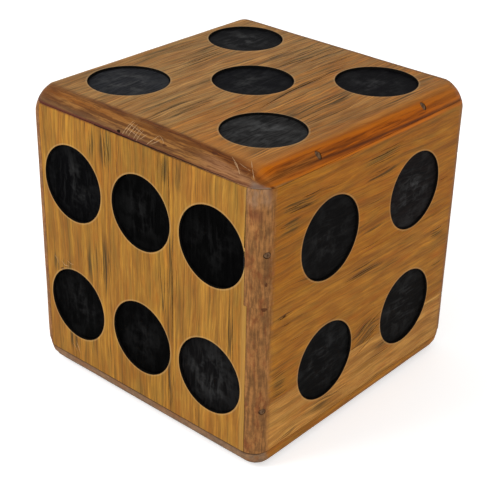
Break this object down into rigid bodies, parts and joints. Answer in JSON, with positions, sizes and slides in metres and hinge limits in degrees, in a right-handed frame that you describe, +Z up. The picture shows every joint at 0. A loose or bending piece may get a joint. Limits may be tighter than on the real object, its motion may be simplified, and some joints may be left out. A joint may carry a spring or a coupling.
{
  "type": "wooden die stool",
  "caption": "Large hollow die-shaped stool of solid wooden boards with rounded edges and black-stained round pips let into shallow pockets.",
  "frame": {"origin": "centre of the underside, on the floor plane", "axes": "+Z up; -Y out of the six-pip face, +X out of the four-pip face, so +Y out of the one-pip face"},
  "size_m": [0.4, 0.4134, 0.404],
  "materials": {
    "wood_top": "aged oiled wood, satin",
    "wood_front": "aged varnished wood, satin",
    "wood_right": "aged varnished wood, satin",
    "wood_left": "aged varnished wood, satin",
    "wood_back": "aged varnished wood, satin",
    "wood_bottom": "aged wood, matt",
    "black_stained_wood": "black-stained wood, satin",
    "peg_wood": "dark peg end grain, matt"
  },
  "bodies": {
    "root": {"back_board_1": "wood_back", "back_board_2": "wood_back", "back_board_3": "wood_back", "bottom_board_1": "wood_bottom", "bottom_board_2": "wood_bottom", "bottom_board_3": "wood_bottom", "front_board_1": "wood_front", "front_board_2": "wood_front", "front_board_3": "wood_front", "left_board_1": "wood_left", "left_board_2": "wood_left", "left_board_3": "wood_left", "peg_bottom_left_1": "peg_wood", "peg_bottom_left_2": "peg_wood", "peg_bottom_right_1": "peg_wood", "peg_bottom_right_2": "peg_wood", "peg_left_back_1": "peg_wood", "peg_left_back_2": "peg_wood", "peg_left_front_1": "peg_wood", "peg_left_front_2": "peg_wood", "peg_right_back_1": "peg_wood", "peg_right_back_2": "peg_wood", "peg_right_front_1": "peg_wood", "peg_right_front_2": "peg_wood", "peg_top_left_1": "peg_wood", "peg_top_left_2": "peg_wood", "peg_top_right_1": "peg_wood", "peg_top_right_2": "peg_wood", "pip_back_1": "black_stained_wood", "pip_bottom_1": "black_stained_wood", "pip_bottom_2": "black_stained_wood", "pip_front_1": "black_stained_wood", "pip_front_2": "black_stained_wood", "pip_front_3": "black_stained_wood", "pip_front_4": "black_stained_wood", "pip_front_5": "black_stained_wood", "pip_front_6": "black_stained_wood", "pip_left_1": "black_stained_wood", "pip_left_2": "black_stained_wood", "pip_left_3": "black_stained_wood", "pip_right_1": "black_stained_wood", "pip_right_2": "black_stained_wood", "pip_right_3": "black_stained_wood", "pip_right_4": "black_stained_wood", "pip_top_1": "black_stained_wood", "pip_top_2": "black_stained_wood", "pip_top_3": "black_stained_wood", "pip_top_4": "black_stained_wood", "pip_top_5": "black_stained_wood", "right_board_1": "wood_right", "right_board_2": "wood_right", "right_board_3": "wood_right", "top_board_1": "wood_top", "top_board_2": "wood_top", "top_board_3": "wood_top"}
  },
  "joints": []
}
